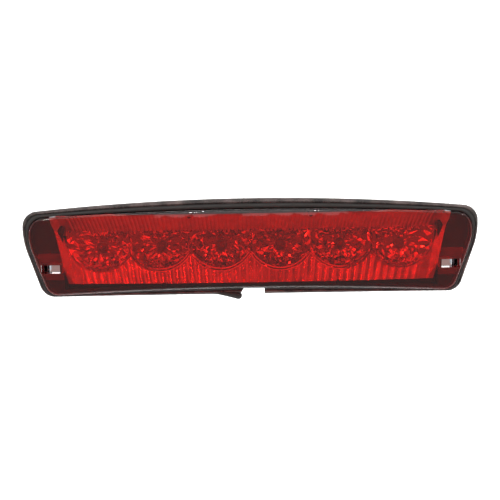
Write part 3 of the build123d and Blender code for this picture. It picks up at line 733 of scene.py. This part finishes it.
# Small lamps that the cups' facets mirror as glints
SPARKS = ((-0.7, -1.0, 0.6), (0.25, -1.2, 0.72), (0.9, -0.9, 0.55), (-0.2, -0.8, 1.0),
          (0.5, -0.6, 1.2), (-1.0, -0.6, 0.9), (1.2, -0.5, 0.3), (-1.2, -0.8, 0.25))
SPARK_SIZE, SPARK_POWER = (0.06, 0.06), 1.2
WORLD_MIRRORED, WORLD_SEEN = 0.42, 1.0


def area_light(name, place, aim, size, power):
    """Adds a rectangular lamp that faces a point."""
    data = bpy.data.lights.new(name, "AREA")
    data.shape = "RECTANGLE"
    data.size, data.size_y = size
    data.energy = power
    light = bpy.data.objects.new(name, data)
    light.location = place
    light.rotation_euler = (Vector(aim) - Vector(place)).to_track_quat("-Z", "Y").to_euler()
    SCENE.collection.objects.link(light)


def paper():
    """White background paper, matt: it glows brightly behind the lamp and more softly in front of it,
    with a painted shadow, dark and pinkish, behind each release slot.
    """
    made, tree = material("white_paper")
    coordinates = node(tree, "ShaderNodeTexCoord").outputs["Object"]
    place = node(tree, "ShaderNodeSeparateXYZ", Vector=coordinates).outputs
    soft = {"interpolation_type": "SMOOTHSTEP"}
    glow = node(tree, "ShaderNodeMapRange", soft, Value=place["Y"],
                From_Min=GLOW_DEPTHS[0], From_Max=GLOW_DEPTHS[1],
                To_Min=GLOW_LEVELS[0], To_Max=GLOW_LEVELS[1])
    # Painted shadow: a soft round patch behind each release slot, where the paper's glow and colour are
    # darkened
    aside = node(tree, "ShaderNodeMath", {"operation": "ABSOLUTE"}, _0=place["X"]).outputs[0]
    painted_shadow_offset = node(tree, "ShaderNodeCombineXYZ", X=aside, Y=place["Z"]).outputs[0]
    for operation, amount in (("SUBTRACT", PAINTED_SHADOW_PLACE), ("MULTIPLY", PAINTED_SHADOW_SCALE)):
        painted_shadow_offset = node(tree, "ShaderNodeVectorMath", {"operation": operation}, _0=painted_shadow_offset, _1=amount).outputs[0]
    reach = node(tree, "ShaderNodeVectorMath", {"operation": "LENGTH"}, _0=painted_shadow_offset).outputs["Value"]
    shade = node(tree, "ShaderNodeMapRange", soft, Value=reach,
                 From_Min=PAINTED_SHADOW_REACH[0], From_Max=PAINTED_SHADOW_REACH[1],
                 To_Min=PAINTED_SHADOW_LEVELS[0], To_Max=PAINTED_SHADOW_LEVELS[1]).outputs[0]
    glow = node(tree, "ShaderNodeMath", {"operation": "MULTIPLY"}, _0=glow.outputs[0], _1=shade)
    # The paper's colour turns a dim pinkish brown in the middle of the painted shadow
    tone = two_tone(tree, shade, "6a3c34", "f0f0f0", *PAINTED_SHADOW_LEVELS)
    close(tree, node(tree, "ShaderNodeBsdfPrincipled", Base_Color=tone, Roughness=0.9,
                     Emission_Color=linear("ffffff"), Emission_Strength=glow.outputs[0]))
    return made


def add_sweep():
    """White sweep from floor to backdrop."""
    bend_y = BACKDROP_Y - SWEEP_BEND
    profile = [(FLOOR_FRONT, FLOOR_Z), (bend_y, FLOOR_Z)]
    for i in range(1, SWEEP_STEPS + 1):
        turn = math.pi / 2 * i / SWEEP_STEPS
        back, up = math.sin(turn), 1 - math.cos(turn)
        profile.append((bend_y + SWEEP_BEND * back, FLOOR_Z + SWEEP_BEND * up))
    profile.append((BACKDROP_Y, BACKDROP_TOP))
    mesh = bpy.data.meshes.new("sweep")
    verts = [(x, y, z) for y, z in profile for x in (-SWEEP_HALF_WIDTH, SWEEP_HALF_WIDTH)]
    faces = [(2 * i, 2 * i + 1, 2 * i + 3, 2 * i + 2) for i in range(len(profile) - 1)]
    mesh.from_pydata(verts, [], faces)
    mesh.shade_smooth()
    sweep = bpy.data.objects.new("sweep", mesh)
    SCENE.collection.objects.link(sweep)
    mesh.materials.append(paper())


def add_studio():
    """Background paper, surroundings, and soft lights above and in front of the lamp."""
    add_sweep()
    add_world()
    for name, (place, aim, size, power) in SOFT_BOXES.items():
        area_light(name, place, aim, size, power)
    for i, place in enumerate(SPARKS):
        area_light(f"spark_{i}", place, (0, 0, 0), SPARK_SIZE, SPARK_POWER)


def add_world():
    """Dim surroundings for everything that mirrors them, and a white background."""
    world = bpy.data.worlds.new("studio")
    world.use_nodes = True
    tree = world.node_tree
    tree.nodes.clear()
    seen = node(tree, "ShaderNodeLightPath").outputs["Is Camera Ray"]
    level = node(tree, "ShaderNodeMapRange", Value=seen, To_Min=WORLD_MIRRORED,
                 To_Max=WORLD_SEEN).outputs[0]
    shade = node(tree, "ShaderNodeBackground", Color=linear("ffffff"), Strength=level)
    node(tree, "ShaderNodeOutputWorld", Surface=shade.outputs[0])
    SCENE.world = world


SCENE.view_settings.view_transform = "Standard"
add_camera()
finish_cad_nodes()
make_seal()
make_reflector()
make_lens()
add_studio()
